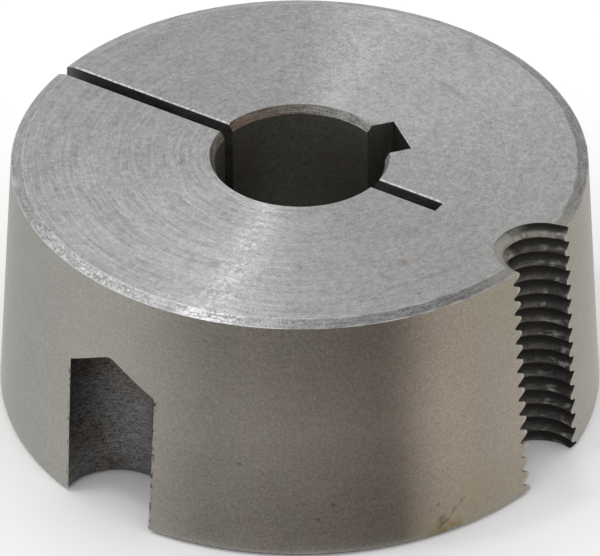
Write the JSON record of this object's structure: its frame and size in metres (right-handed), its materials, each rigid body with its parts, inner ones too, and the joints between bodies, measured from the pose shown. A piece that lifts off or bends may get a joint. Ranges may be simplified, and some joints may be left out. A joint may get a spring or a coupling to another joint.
{
  "type": "taper lock bushing",
  "caption": "Split taper bushing with a keyed bore, one tapped and two plain half-holes for screws, which locks a hub on a shaft.",
  "frame": {"origin": "middle of the bore on the large end face, which the bushing stands on", "axes": "+Z along the bore to the small end, +X through the middle of the keyway"},
  "size_m": [0.057, 0.057, 0.025],
  "materials": {
    "machined_steel": "bare, turned end face and ground taper"
  },
  "bodies": {
    "root": {"bushing": "machined_steel"}
  },
  "joints": []
}
